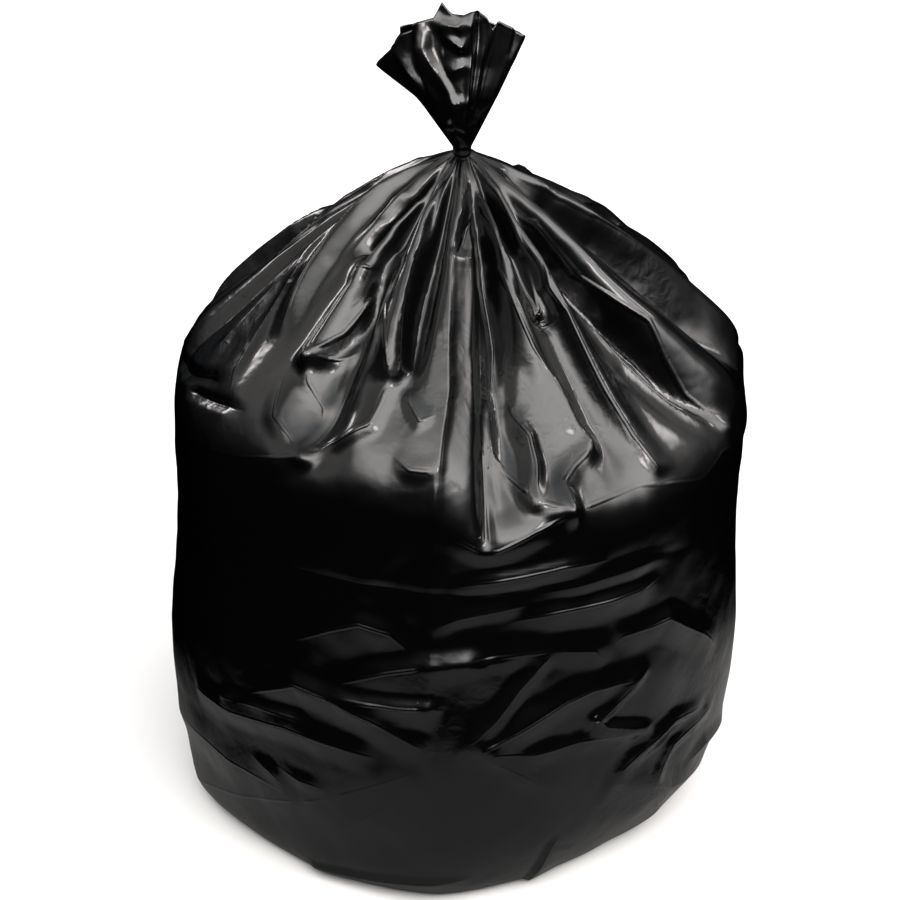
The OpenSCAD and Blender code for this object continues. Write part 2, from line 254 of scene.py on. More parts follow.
# The creases on the body, in the same form.
BODY_CREASES = [
    (4, 4, [(-5, 586, 1), (-4, 536, 2), (-3, 497, 2), (-4, 469, 2), (-5, 411, 1.5), (-5, 340, 1),
            (-5, 192, 1), (-5, 150, 0)]),
    (4, 4, [(-40, 343, 0), (-30, 341, -0.8), (-13, 338, -1.2), (2, 334, -1), (16, 340, -1.4),
            (31, 343, -1), (40, 343, -0.8), (55, 330, 0)]),
    (7, 14, [(-2, 342, 0), (8, 350, 5), (20, 357, 5), (30, 354, 0)]),
    (8, 16, [(10, 306, 0), (20, 312, 5), (30, 312, 5.5), (38, 312, 5), (43, 318, 0)]),
    (8, 7, [(-6, 300, 0), (0, 312, 2.5), (9, 320, 2.5), (14, 322, 0)]),
    (16, 12, [(-6, 262, 0), (0, 268, 2), (8, 273, 2.5), (18, 273, 3), (28, 262, 2.5), (31, 245, 0)]),
    (12, 32, [(-27, 228, 0), (-14, 254, 5), (-6, 265, 6), (2, 268, 5)]),
    (12, 26, [(-35, 262, 0), (-25, 288, 4), (-19, 300, 5), (-13, 294, 4), (-8, 272, 0)]),
    (8, 16, [(-24, 222, 0), (-17, 222, 5), (-11, 222, 6), (-5, 225, 6), (-2, 222, 0)]),
    (12, 16, [(-50, 182, 0), (-40, 205, 4), (-33, 221, 6), (-24, 218, 6), (-16, 205, 5), (-8, 187, 2),
              (-4, 178, 0)]),
    (8, 10, [(-56, 168, 0), (-54, 172, 3), (-43, 183, 4), (-34, 186, 3), (-30, 184, 0)]),
    (14, 14, [(-68, 150, 0), (-66, 153, 2), (-52, 160, 5), (-36, 173, 6), (-21, 168, 3), (-15, 165, 0)]),
    (8, 8, [(-48, 122, 0), (-41, 116, 3), (-36, 99, 0)]),
    (8, 8, [(-40, 124, 0), (-33, 119, 3), (-25, 117, 0)]),
    (20, 25, [(-90, 80, 0), (-83, 88, 3), (-68, 99, 4), (-57, 101, 4), (-44, 101, 3), (-34, 97, 0)]),
    (12, 16, [(33, 264, 0), (35, 268, 2), (42, 268, 5), (46, 270, 6), (52, 250, 5), (60, 225, 4),
              (69, 192, 0)]),
    (6, 10, [(43, 225, 0), (40, 218, 3), (36, 205, 4), (30, 188, 5), (32, 179, 5), (43, 158, 3),
             (46, 150, 0)]),
    (10, 8, [(2, 186, 0), (4, 193, 2), (8, 211, 4), (12, 237, 4), (17, 262, 3), (19, 270, 0)]),
    (16, 14, [(4, 176, 0), (6, 182, 3), (12, 195, 5), (22, 217, 5), (28, 222, 4), (38, 219, 3),
              (42, 217, 0)]),
    (9, 14, [(14, 332, 0), (24, 336, 4), (36, 340, 4), (46, 336, 0)]),
    (10, 12, [(6, 175, 0), (8, 176, 2), (16, 169, 3), (26, 171, 3), (43, 158, 2), (48, 152, 0)]),
    (10, 12, [(0, 186, 0), (4, 182, 3), (10, 161, 3), (18, 133, 2), (24, 110, 0)]),
    (10, 12, [(34, 113, 0), (38, 124, 3), (44, 138, 5), (52, 149, 5), (62, 140, 2), (66, 138, 0)]),
    (8, 10, [(47, 86, 0), (50, 104, 4), (53, 121, 5), (61, 125, 4), (68, 126, 2), (72, 126, 0)]),
    (8, 10, [(61, 73, 0), (70, 84, 4), (83, 76, 3), (90, 74, 0)]),
    (14, 20, [(33, 114, 0), (35, 112, 3), (46, 95, 5), (55, 70, 5), (78, 40, 4), (84, 36, 0)]),
    (40, 40, [(-6, 160, 0), (-30, 100, 3), (-55, 60, 4), (-77, 28, 5), (-80, 20, 2)]),
    (35, 35, [(-4, 150, 0), (-20, 90, 3), (-31, 18, 4), (-32, 8, 2)]),
    (30, 3, [(24, 64, 0), (22, 57, 3), (22, 29, 5), (22, 12, 4)]),
    (35, 35, [(30, 140, 0), (45, 90, 3), (58, 32, 5), (59, 12, 3)]),
    (4, 16, [(-34, 14, 0), (-31, 18, 3), (-19, 20, 4), (-2, 30, 4), (6, 32, 0)]),
]
# The same creases go round the back once more, turned by this angle.
BACK_TURN = 187.0
print(len(CONE_CREASES), "creases on the cone and", len(BODY_CREASES), "on the body")

# %% How high each fold and crease lifts the film
CONE_STRENGTH, BODY_STRENGTH = 1.0, 1.1
# A fold grows over this share of its way down, and dies between these two shares.
FOLD_GROWS, FOLD_DIES = 0.35, (0.8, 1.12)
# A crest is a little wider than its reach and a little hollow at its sides.
CREST_WIDTH, CREST_POWER = 1.3, 1.3
# The grid can't hold a crest sharper than this; the finish sharpens it later.
CREST_ROUND = 2.5
# Gathers grow and die between these shares of the way from neck to shoulder.
GATHERS, GATHER_DEPTH, GATHER_SWAY = 17, 2.0, 40.0
GATHER_GROWS, GATHER_DIES = (0.0, 0.14), (0.16, 0.5)
CROSS_CREASE_H, CROSS_CREASE_DEPTH, CROSS_CREASE_HALF = 338.0, 0.3, 14.0
PACK_CREASES, PACK_CREASE_DEPTH, PACK_CREASE_HALF, PACK_TURN = 7, 2.0, 5.0, 30.0
PACK_LEVELS = (20.0, 60.0)
# Folds and creases fade out on the floor, below these levels.
FOLD_FLOOR, CREASE_FLOOR = 30.0, 8.0
FAR_OFF = 1e9


def tent(d, half):
    """A ridge with a sharp crest and hollow sides: (1 - |d| / half) to the power 1.5."""
    return np.maximum(0.0, 1.0 - np.abs(d) / half) ** 1.5


def bell(d, half):
    """A round ridge: (1 - (d / half) squared) squared."""
    return np.maximum(0.0, 1.0 - (d / half) ** 2) ** 2


def turn(a):
    """An angle in degrees brought between -180 and 180."""
    return (a + 540.0) % 360.0 - 180.0


def fold_lift(fold, z, a):
    """A round ridge about a line down the cone: height times growth, times bell of the angle off."""
    neck_a, foot_a, foot_z, height, half_left, half_right = fold
    way = (NECK_H - z) / (NECK_H - foot_z)
    axis = neck_a + (foot_a - neck_a) * np.minimum(1.0, way)
    size = ease(share(way, 0.0, FOLD_GROWS)) * (1.0 - ease(share(way, *FOLD_DIES)))
    off = turn(a - axis)
    half = np.where(off < 0.0, half_left, half_right)
    return height * size * bell(off, half)


def gather_lift(z, a):
    """Small gathers beside the neck: a cosine of the azimuth, swaying so that they are uneven."""
    way = (NECK_H - z) / NECK_RISE
    size = ease(share(way, *GATHER_GROWS)) * (1.0 - ease(share(way, *GATHER_DIES)))
    swayed = GATHERS * a + GATHER_SWAY * np.sin(np.radians(2.0 * a))
    return GATHER_DEPTH * size * np.cos(np.radians(swayed))


def packing_lift(z, a):
    """What packing left: upright crests evenly round the body, less one line across it."""
    size = PACK_CREASE_DEPTH * share(z, *PACK_LEVELS) * (1.0 - share(z, HIGH_BULGE_H, NECK_H))
    upright = size * tent(turn(a * PACK_CREASES + PACK_TURN) / PACK_CREASES, PACK_CREASE_HALF)
    return upright - CROSS_CREASE_DEPTH * tent(z - CROSS_CREASE_H, CROSS_CREASE_HALF)


def folds_lift(z, a):
    """All folds, gathers and packing creases together, fading out on the floor."""
    total = gather_lift(z, a) + packing_lift(z, a)
    for fold in DRAWS:
        total = total + fold_lift(fold, z, a)
    return total * share(z, 0.0, FOLD_FLOOR)


print("deepest fold, mm:", DRAWS[:, 3].min(), "highest, mm:", DRAWS[:, 3].max())


# %% Distance from a crease, and the lift it gives
def crease_steps(run, radius, rise):
    """Each straight step of a run: its start, its way on the film and both its heights.

    Degrees become millimetres by the radius there, and levels by the slope's own length,
    the square root of 1 plus the slope squared.
    """
    for (a0, z0, h0), (a1, z1, h1) in zip(run[:-1], run[1:]):
        mid = (z0 + z1) / 2.0
        slope = float(sack_r(mid + 1.0) - sack_r(mid - 1.0)) / 2.0
        across = math.radians(radius or float(sack_r(mid)))
        up = rise or math.sqrt(1.0 + slope * slope)
        yield a0, z0, turn(a1 - a0) * across, (z1 - z0) * up, across, up, h0, h1


def crease_lift(crease, z, a, radius=None, rise=None):
    """Lift, signed distance and height of one crease at every point of a grid.

    The nearest step counts, with its distance off rounded near nothing: the square root of
    off squared plus round squared, less round. A valley's sides are straight: height times
    (1 - off / reach). A crest's are a power of that. Left of the way it runs is positive.
    """
    reach_left, reach_right, run = crease
    lifted, height = np.zeros(z.shape), np.zeros(z.shape)
    signed = np.full(z.shape, FAR_OFF)
    for a0, z0, way_x, way_y, across, up, h0, h1 in crease_steps(run, radius, rise):
        here_x, here_y = turn(a - a0) * across, (z - z0) * up
        s = np.clip((here_x * way_x + here_y * way_y) / (way_x ** 2 + way_y ** 2), 0.0, 1.0)
        off = np.hypot(here_x - s * way_x, here_y - s * way_y)
        left = way_x * here_y - way_y * here_x > 0.0
        size = h0 + (h1 - h0) * s
        reach = np.where(left, reach_left, reach_right)
        rounded = np.sqrt(off ** 2 + CREST_ROUND ** 2) - CREST_ROUND
        valley = size * np.maximum(0.0, 1.0 - rounded / reach)
        crest = size * np.maximum(0.0, 1.0 - rounded / (CREST_WIDTH * reach)) ** CREST_POWER
        nearer = off < np.abs(signed)
        lifted = np.where(nearer, np.where(size < 0.0, valley, crest), lifted)
        height = np.where(nearer, size, height)
        signed = np.where(nearer, np.where(left, off, -off), signed)
    return lifted, signed, height


def creases_lift(z, a):
    """All creases on the sack, at the front and once more around the back."""
    total = np.zeros(z.shape)
    for creases, strength in ((CONE_CREASES, CONE_STRENGTH), (BODY_CREASES, BODY_STRENGTH)):
        for crease in creases:
            for here in (a, turn(a - BACK_TURN)):
                lifted = crease_lift(crease, z, here)[0]
                total = total + lifted * np.where(lifted < 0.0, 1.0, strength)
    return total


# %% The drawn sack
# Film at the neck stays this share of the neck's radius out, and below it by this share of the way.
NECK_LEAST, NECK_EASE = 0.8, 0.02


def skin(z, a, folds=1.0, creases=0.0):
    """The smooth sack moved out along its own slope by the folds: arrays of x, y and z.

    Out and up are split as on any slope: out divided by the slope's length goes sideways,
    and that times the slope goes down.
    """
    r = sack_r(z, a) * plan(z, np.radians(a))
    slope = (sack_r(z + 1.0, a) - sack_r(z - 1.0, a)) / 2.0
    out = folds * folds_lift(z, a)
    if creases:
        out = out + creases * creases_lift(z, a) * share(z, 0.0, CREASE_FLOOR)
    out = out / np.sqrt(1.0 + slope * slope)
    reach = np.maximum(NECK_R * NECK_LEAST, r + out)
    height = np.minimum(z - out * slope, NECK_H - NECK_EASE * (NECK_H - z))
    turned = np.radians(a) + FRONT
    return np.stack([reach * np.cos(turned) + drift(z), reach * np.sin(turned), height])


# %% [markdown]
# Now the film is relaxed. A drawn fold is smooth everywhere, and real film isn't: it keeps
# its length in every direction, so it stays flat where it can and turns sharply where it
# must. A cloth simulation would give that too, but it needs hundreds of frames at this
# fineness. Moving points straight to where their lengths are right is faster and steadier:
# in each pass every short stretch of film is brought back to its own length along the
# rows, along the columns and along both diagonals. A weak tie holds the film near the
# drawing, firmly on the taut cone and loosely on the slack body, and the contents keep it
# from falling in. It is done on a coarse grid first, where long waves settle quickly, and
# then on grids twice and four times as fine.

# %% Bringing a grid of film back to its lengths
NEARLY_NOTHING = 1e-6


def span(a, b):
    """Distance between matching points: the square root of the sum of squares."""
    return np.sqrt(((b - a) ** 2).sum(0))


def pull(a, b, rest, firm):
    """Moves both ends of each stretch along it, by half of what it is too long or too short."""
    d = b - a
    length = np.sqrt((d * d).sum(0)) + NEARLY_NOTHING
    d *= 0.5 * firm * (length - rest) / length
    a += d
    b -= d


def pull_round(p, rest, firm):
    """Stretches between neighbours in a ring: even ones, odd ones, then the one that closes it."""
    pull(p[:, :, 0:-1:2], p[:, :, 1::2], rest[:, 0:-1:2], firm)
    pull(p[:, :, 1:-1:2], p[:, :, 2::2], rest[:, 1:-1:2], firm)
    pull(p[:, :, -1:], p[:, :, :1], rest[:, -1:], firm)


def pull_up(p, rest, firm):
    """Stretches between one ring and the next, even rings and then odd ones."""
    for first in (0, 1):
        pull(p[:, first:-1:2], p[:, first + 1::2], rest[first::2], firm)


def pull_diagonals(p, rest, firm, leaning):
    """One diagonal of every cell, leaning right (1) or left (-1): they stop the film shearing."""
    for first in (0, 1):
        low, high, r = p[:, first:-1:2], p[:, first + 1::2], rest[first::2]
        if leaning < 0:
            low, high = high, low
        pull(low[:, :, :-1], high[:, :, 1:], r[:, :-1], firm)
        pull(low[:, :, -1:], high[:, :, :1], r[:, -1:], firm)


def second_difference(p, axis):
    """Neighbours on both sides less twice the point, with the ends of an open axis held."""
    if axis == 2:
        return np.roll(p, 1, 2) + np.roll(p, -1, 2) - 2.0 * p
    out = np.zeros_like(p)
    out[:, 1:-1] = p[:, 2:] + p[:, :-2] - 2.0 * p[:, 1:-1]
    return out


def stiffen(p, amount):
    """Film bends, but never to nothing: take away a share of the bend's own bend."""
    for axis in (1, 2):
        p -= amount * second_difference(second_difference(p, axis), axis)


def finer(p):
    """Twice as many columns and rows. New points are (9 (b + c) - a - d) / 16, a cubic."""
    mid = (9.0 * (p + np.roll(p, -1, 2)) - np.roll(p, 1, 2) - np.roll(p, -2, 2)) / 16.0
    wide = np.stack([p, mid], 3).reshape(p.shape[0], p.shape[1], -1)
    ends = np.concatenate([wide[:, :1], wide, wide[:, -1:]], 1)
    between = (9.0 * (ends[:, 1:-2] + ends[:, 2:-1]) - ends[:, :-3] - ends[:, 3:]) / 16.0
    tall = np.empty((p.shape[0], 2 * p.shape[1] - 1, wide.shape[2]))
    tall[:, 0::2] = wide
    tall[:, 1::2] = between
    return tall


# %% The grid's own coordinates and lengths
COLUMNS, ROWS = 432, 229
# Columns stand closer together at the front, by this share, and wider apart behind.
FRONT_CROWDING = 0.2
# Rows lie close together at the foot, where the film turns most.
FOOT_PART, FOOT_RISE = 0.14, 3.1
# Film to spare around the sack and up it, as shares of its drawn length.
SPARE_ROUND_LEVELS = [0, 60, 300, 420, 500, 648]
SPARE_ROUND = [1.0, 1.006, 1.008, 1.008, 1.003, 1.003]
SPARE_UP_LEVELS = [0, 40, 120, 300, 420, 480, 648]
SPARE_UP = [1.0, 1.004, 1.008, 1.008, 1.004, 1.0, 1.0]


def level(s):
    """Neck height times a parabola for the first part of the rows and a straight line after it."""
    low = FOOT_RISE * FOOT_PART ** 2
    straight = low + (1.0 - low) * (s - FOOT_PART) / (1.0 - FOOT_PART)
    return NECK_H * np.where(s < FOOT_PART, FOOT_RISE * s * s, straight)


def grid(rows, columns):
    """Level and azimuth at each point; the azimuth is an even turn less a share of its sine."""
    even = np.arange(columns) * math.tau / columns
    a = np.degrees(even - FRONT_CROWDING * np.sin(even))
    return np.meshgrid(level(np.linspace(0.0, 1.0, rows)), a, indexing="ij")


def lengths(z, a):
    """Rest lengths: the drawn sack's own, round, up and along both diagonals, and some to spare."""
    drawn = skin(z, a)
    beside = np.roll(drawn, -1, 2)
    spare_round = np.interp(z, SPARE_ROUND_LEVELS, SPARE_ROUND)
    spare_up = np.interp((z[:-1] + z[1:]) / 2.0, SPARE_UP_LEVELS, SPARE_UP)
    spare_both = (spare_round[:-1] + spare_up) / 2.0
    around = span(drawn, beside) * spare_round
    up = span(drawn[:, :-1], drawn[:, 1:]) * spare_up
    right = span(drawn[:, :-1], beside[:, 1:]) * spare_both
    left = span(drawn[:, 1:], beside[:, :-1]) * spare_both
    return around, up, right, left


print("grid:", COLUMNS, "columns by", ROWS, "rows")

# %% Relax the sack from coarse to fine
PASSES = ((200, 120, 50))
TIES = (0.01, 0.004, 0.002)
BENDS = (0.006, 0.012, 0.018)
# The tie is this many times firmer on the cone, growing between these levels.
CONE_TIE, TIE_LEVELS = 25.0, (400.0, 470.0)
KEPT_SPEED, DIAGONAL_FIRM = 0.85, 0.6
SEED = 7
# The film never comes closer to the middle than this share of the smooth sack.
FILLING_LEVELS, FILLING = [0, 380, 470, 648], [0.985, 0.985, 0.90, 0.4]
# A little chance starts the film's waves, in millimetres, and less of it on the cone.
UNEVEN, UNEVEN_LEVELS, UNEVEN_LESS = 0.35, (380.0, 460.0), 0.85


def relax(p, target, z, a, passes, tie, bend):
    """Runs the passes over a grid; its foot and neck rings stay where they are."""
    around, up, right, left = lengths(z, a)
    centre = drift(z)
    smooth = skin(z, a, folds=0.0)
    inner = np.hypot(smooth[0] - centre, smooth[1]) * np.interp(z, FILLING_LEVELS, FILLING)
    foot, neck = p[:, :1].copy(), p[:, -1:].copy()
    tie = tie * (1.0 + (CONE_TIE - 1.0) * ease(share(z, *TIE_LEVELS)))
    before = p.copy()
    for count in range(passes):
        speed = p - before
        before = p.copy()
        p += KEPT_SPEED * speed + tie * (target - p)
        pull_round(p, around, 1.0)
        pull_up(p, up, 1.0)
        for leaning in ((1, -1) if count % 2 else (-1, 1)):
            pull_diagonals(p, right if leaning > 0 else left, DIAGONAL_FIRM, leaning)
        stiffen(p, bend)
        off = p[0] - centre
        grow = np.maximum(1.0, inner / (np.hypot(off, p[1]) + NEARLY_NOTHING))
        p[0] = centre + off * grow
        p[1] *= grow
        np.maximum(p[2], 0.0, out=p[2])
        p[:, :1] = foot
        p[:, -1:] = neck
    return p


rng = np.random.default_rng(SEED)
film = None
for i, count in enumerate(PASSES):
    part = 2 ** (len(PASSES) - 1 - i)
    z, a = grid((ROWS - 1) // part + 1, COLUMNS // part)
    drawn = skin(z, a)
    film = drawn.copy() if film is None else finer(film) + drawn - finer(coarse_drawn)
    coarse_drawn = drawn
    uneven = UNEVEN * part * (1.0 - UNEVEN_LESS * ease(share(z, *UNEVEN_LEVELS)))
    film[:, 1:-1] += (rng.normal(0.0, 1.0, film.shape) * uneven)[:, 1:-1]
    film = relax(film, film.copy() if i else drawn, z, a, count, TIES[i], BENDS[i])
    moved = np.abs(film - drawn)
    print(z.shape, "moved, mm:", moved.mean().round(2), "on average, at most", moved.max().round(1),
          "after", round(time.perf_counter() - started, 1), "s")

# The creases go on last, so that relaxing doesn't round them.
film += skin(z, a, creases=1.0) - drawn
print("level range, mm:", film[2].min().round(1), film[2].max().round(1))

# %% [markdown]
# The crown is the open end of the same tube, above the twist. It was cut straight when the
# sack was made, but the twist holds its film at one point, so it opens like a flattened
# flower: wide from side to side, narrow from front to back, with a rim that dips wherever
# a fold takes film away. It stands up by its own creases and no weight pulls at it, so it
# isn't relaxed. It is drawn straight from its widths, its rim and its creases, once for the
# outside and once, a little further in, for the hollow.

# %% The crown's sizes, rim and creases
NECK_LEN = 6.0
CROWN_FOOT_H = NECK_H + NECK_LEN
CROWN_HALF_W, CROWN_HALF_D = 60.0, 33.0
LEFT_FULL_H, RIGHT_FULL_H, FRONT_FULL_H = 80.0, 108.0, 52.0
CROWN_H, MOUTH_D, CROWN_LEAN = 137.0, 24.0, 8.0
WIDE_ROUND, DEEP_ROUND = 0.12, 0.25
# Pleats: count, share and phase in degrees of each of the two cosines that make them.
PLEAT_WAVES = [(9, 0.62, 25.0), (5, 0.38, 130.0)]
PLEAT_DEPTH, PLEAT_GROWS, DEEP_PLEATS = 4.0, 0.8, 0.8
ROOT_INSET = 1.0
CROWN_COLUMNS, CROWN_ROWS, HOLLOW_ROWS = 288, 56, 34
FILM_GAP, HOLLOW_FLOOR, ROOT_DEPTH = 0.6, 0.35, 10.0
# A crease on the crown is as wide as on a round of this share of its half width.
CREASE_ROUND = 0.75
CREASE_R = CROWN_HALF_W * CREASE_ROUND
# Azimuth, and how far the rim lies below the crown's full height there.
RIM_DROPS = np.array([
    [-160, 22], [-140, 25], [-118, 31], [-102, 42], [-90, 60], [-82, 46], [-72, 31], [-55, 23], [-40, 17],
    [-25, 13], [-18, 0], [-9, 9], [-1, 11], [8, 8], [15, 8], [24, 14], [30, 24], [36, 17], [50, 23],
    [62, 29], [76, 34], [88, 39], [100, 41], [118, 37], [140, 31], [165, 21], [180, 21],
], dtype=float)
# Creases on the crown, with heights above its foot in place of levels.
CROWN_CREASES = [
    (3, 7, [(-33, 112, 2), (-33, 98, 4), (-24, 78, 4), (-14, 59, 4), (-5, 38, 2), (0, 20, 0)]),
    (9, 3, [(-36, 124, 3), (-37, 100, 4), (-40, 70, 4), (-44, 40, 2), (-44, 20, 0)]),
    (8, 3, [(9, 118, 3), (9, 80, 4), (9, 50, 3), (8, 25, 0)]),
    (4, 4, [(27, 124, 3), (22, 91, 5), (22, 56, 4), (20, 30, 0)]),
    (7, 5, [(67, 112, 4), (58, 86, 6), (55, 50, 4), (50, 25, 0)]),
    (5, 8, [(-80, 95, 3), (-66, 80, 5), (-50, 54, 4), (-40, 30, 0)]),
    (8, 5, [(-60, 110, -6), (-54, 80, -8), (-48, 50, -5), (-42, 30, 0)]),
    (10, 5, [(17, 124, -6), (18, 80, -9), (17, 50, -6), (14, 25, 0)]),
    (8, 10, [(36, 116, -8), (36, 80, -10), (35, 50, -6), (32, 25, 0)]),
    (6, 9, [(-30, 52, 0), (-12, 50, 4), (4, 51, 4), (14, 56, 0)]),
    (5, 5, [(-14, 88, 0), (-8, 80, 2), (2, 84, 2), (8, 88, 0)]),
    (5, 4, [(-22, 118, 0), (-12, 108, 4), (0, 100, 5), (8, 120, 4), (11, 128, 2)]),
    (4, 5, [(-30, 124, 0), (-18, 119, 4), (-4, 117, 4), (6, 124, 3)]),
    (4, 4, [(-44, 16, 0), (-36, 24, 5), (-14, 30, 6), (4, 24, 5), (16, 18, 0)]),
    (4, 4, [(-24, 30, 3), (-12, 18, 6), (6, 11, 4), (20, 16, 0)]),
    (7, 7, [(-94, 46, 1), (-91, 76, 18), (-90, 84, 12)]),
    (8, 6, [(96, 112, 4), (100, 80, 5), (96, 40, 3), (90, 20, 0)]),
    (6, 9, [(128, 116, 5), (132, 80, 6), (130, 40, 4), (126, 20, 0)]),
    (7, 7, [(158, 112, -5), (156, 80, -6), (154, 40, -4), (150, 20, 0)]),
    (9, 5, [(184, 120, 5), (182, 80, 6), (184, 40, 4), (186, 20, 0)]),
    (7, 7, [(208, 124, -4), (210, 80, -6), (208, 40, -4), (206, 20, 0)]),
    (6, 8, [(236, 112, 5), (232, 80, 6), (234, 40, 4), (238, 20, 0)]),
    (8, 6, [(256, 100, 4), (258, 70, 5), (256, 40, 3), (250, 20, 0)]),
]
print("crown:", 2 * CROWN_HALF_W, "mm wide and", CROWN_H, "mm high, with", len(CROWN_CREASES), "creases")


# %% The crown
def rim_height(a):
    """Height of the rim above the crown's foot: the full height less the drop at this azimuth."""
    return CROWN_H - np.interp(a, RIM_DROPS[:, 0], RIM_DROPS[:, 1], period=360.0)


def crown_pleat(a):
    """Two cosines of the azimuth: nine pleats, and five that make them uneven."""
    return sum(part * np.cos(np.radians(count * a + phase)) for count, part, phase in PLEAT_WAVES)


def crown(s, a, inset):
    """A flattened bell, as shares s of the way to the rim: arrays of x, y and z.

    Each half width grows in a straight line until its fullest level. Above the front's
    fullest level the wall leans back, and front and back close in towards the mouth.
    """
    h = s * rim_height(a)
    to_right = 0.5 + 0.5 * np.sin(np.radians(a))
    full = LEFT_FULL_H + (RIGHT_FULL_H - LEFT_FULL_H) * to_right
    wide = smooth_min(h / full, 1.0, WIDE_ROUND)
    deep = smooth_min(h / FRONT_FULL_H, 1.0, DEEP_ROUND)
    above = share(h, FRONT_FULL_H, CROWN_H)
    fold = PLEAT_DEPTH * share(s, 0.0, PLEAT_GROWS) * crown_pleat(a)
    for crease in CROWN_CREASES:
        fold = fold + crease_lift(crease, h, a, CREASE_R, 1.0)[0]
    foot_r = NECK_R - ROOT_INSET
    closing = (CROWN_HALF_D - MOUTH_D / 2.0) * above
    half_w = foot_r + (CROWN_HALF_W - NECK_R) * wide + fold - inset
    half_d = foot_r + (CROWN_HALF_D - NECK_R) * deep + DEEP_PLEATS * fold - closing - inset
    turned = np.radians(a) + FRONT
    return np.stack([half_w * np.cos(turned),
                     half_d * np.sin(turned) + CROWN_LEAN * above,
                     CROWN_FOOT_H + h])


azimuth = turn(np.arange(CROWN_COLUMNS) * 360.0 / CROWN_COLUMNS)
way_up = np.linspace(0.0, 1.0, CROWN_ROWS)
way_down = np.linspace(1.0, HOLLOW_FLOOR, HOLLOW_ROWS)
outside = crown(*np.meshgrid(way_up, azimuth, indexing="ij"), 0.0)
hollow = crown(*np.meshgrid(way_down, azimuth, indexing="ij"), FILM_GAP)
# The crown begins inside the twist, a little below its own foot.
root = outside[:, :1] - np.array([0.0, 0.0, ROOT_DEPTH])[:, None, None]
crown_film = np.concatenate([root, outside, hollow], axis=1)
crown_ways = np.concatenate([[0.0], way_up, way_down])
print("crown grid:", crown_film.shape[1], "rows by", crown_film.shape[2], "columns")

# %% [markdown]
# Each grid becomes a mesh, with a fan of triangles over its first ring and its last. A
# crease in real film is as sharp as the film is thin, far finer than any grid. So each point
# also carries its signed distance from the nearest crease. Distance changes evenly across a
# face, so the material can find the crease's exact line inside it, between the points, and
# raise a crest about five millimetres wide there.

# %% Signed distance from the nearest crease
# A crest's height fades to nothing between these distances from its crease.
NEAR, FAR = 5.0, 7.5
# How much farther off a second crease is where the crest begins, and where it is whole.
ALONE_FROM, ALONE_TO = 4.0, 9.0
# Two creases are neighbours where both are nearer than this.
FACING = 12.0


def crease_map(z, a, creases, radius=None, rise=None):
    """Signed distance in millimetres from the nearest crease, and the height of its crest.

    The height fades out far from the crease, and where a second crease is about as near. Either
    side of a crease may be the positive one, so it's the one that agrees with the neighbour it
    faces. The distance then keeps its sign halfway between the two.
    """
    signed, height = np.full(z.shape, FAR_OFF), np.zeros(z.shape)
    second = np.full(z.shape, FAR_OFF)
    for crease in creases:
        for here in (a, turn(a - BACK_TURN)):
            d, size = crease_lift(crease, z, here, radius, rise)[1:]
            halfway = (np.abs(np.abs(d) - np.abs(signed)) < ALONE_FROM) & (np.abs(d) < FACING)
            if np.sign((d * signed)[halfway]).sum() < 0.0:
                d = -d
            nearer = np.abs(d) < np.abs(signed)
            second = np.minimum(second, np.where(nearer, np.abs(signed), np.abs(d)))
            signed = np.where(nearer, d, signed)
            height = np.where(nearer, size, height)
    near = 1.0 - share(np.abs(signed), NEAR, FAR)
    alone = share(second - np.abs(signed), ALONE_FROM, ALONE_TO)
    return np.stack([np.clip(signed, -FAR, FAR), height * near * alone, np.zeros(z.shape)])


sack_creases = crease_map(z, a, CONE_CREASES + BODY_CREASES)
crown_h = np.outer(crown_ways, rim_height(azimuth))
crown_a = np.tile(azimuth, (len(crown_ways), 1))
crown_creases = crease_map(crown_h, crown_a, CROWN_CREASES, CREASE_R, 1.0)
print("points near a crease:", int((sack_creases[1] != 0).sum()), "of", sack_creases[1].size)


# %% From a grid to a closed mesh
def grid_quads(rows, columns):
    """Corners of every cell of a closed grid, turned so that the faces look outward."""
    i, k = np.meshgrid(np.arange(rows - 1), np.arange(columns), indexing="ij")
    n = (k + 1) % columns
    low, high = i * columns, (i + 1) * columns
    return np.stack([low + k, low + n, high + n, high + k], -1).reshape(-1, 4)


def make_mesh(name, points, quads, tris):
    """A smooth mesh object from arrays: points in metres, four-cornered and three-cornered faces."""
    mesh = bpy.data.meshes.new(name)
    mesh.vertices.add(len(points))
    mesh.vertices.foreach_set("co", np.ascontiguousarray(points, dtype=np.float32).ravel())
    corners = np.concatenate([quads.ravel(), tris.ravel()]).astype(np.int32)
    mesh.loops.add(len(corners))
    mesh.loops.foreach_set("vertex_index", corners)
    sizes = np.concatenate([np.full(len(quads), 4), np.full(len(tris), 3)]).astype(np.int32)
    mesh.polygons.add(len(sizes))
    mesh.polygons.foreach_set("loop_start", (np.cumsum(sizes) - sizes).astype(np.int32))
    mesh.polygons.foreach_set("loop_total", sizes)
    mesh.polygons.foreach_set("use_smooth", np.ones(len(sizes), bool))
    mesh.update(calc_edges=True)
    mesh.validate()
    piece = bpy.data.objects.new(name, mesh)
    bpy.context.scene.collection.objects.link(piece)
    return piece


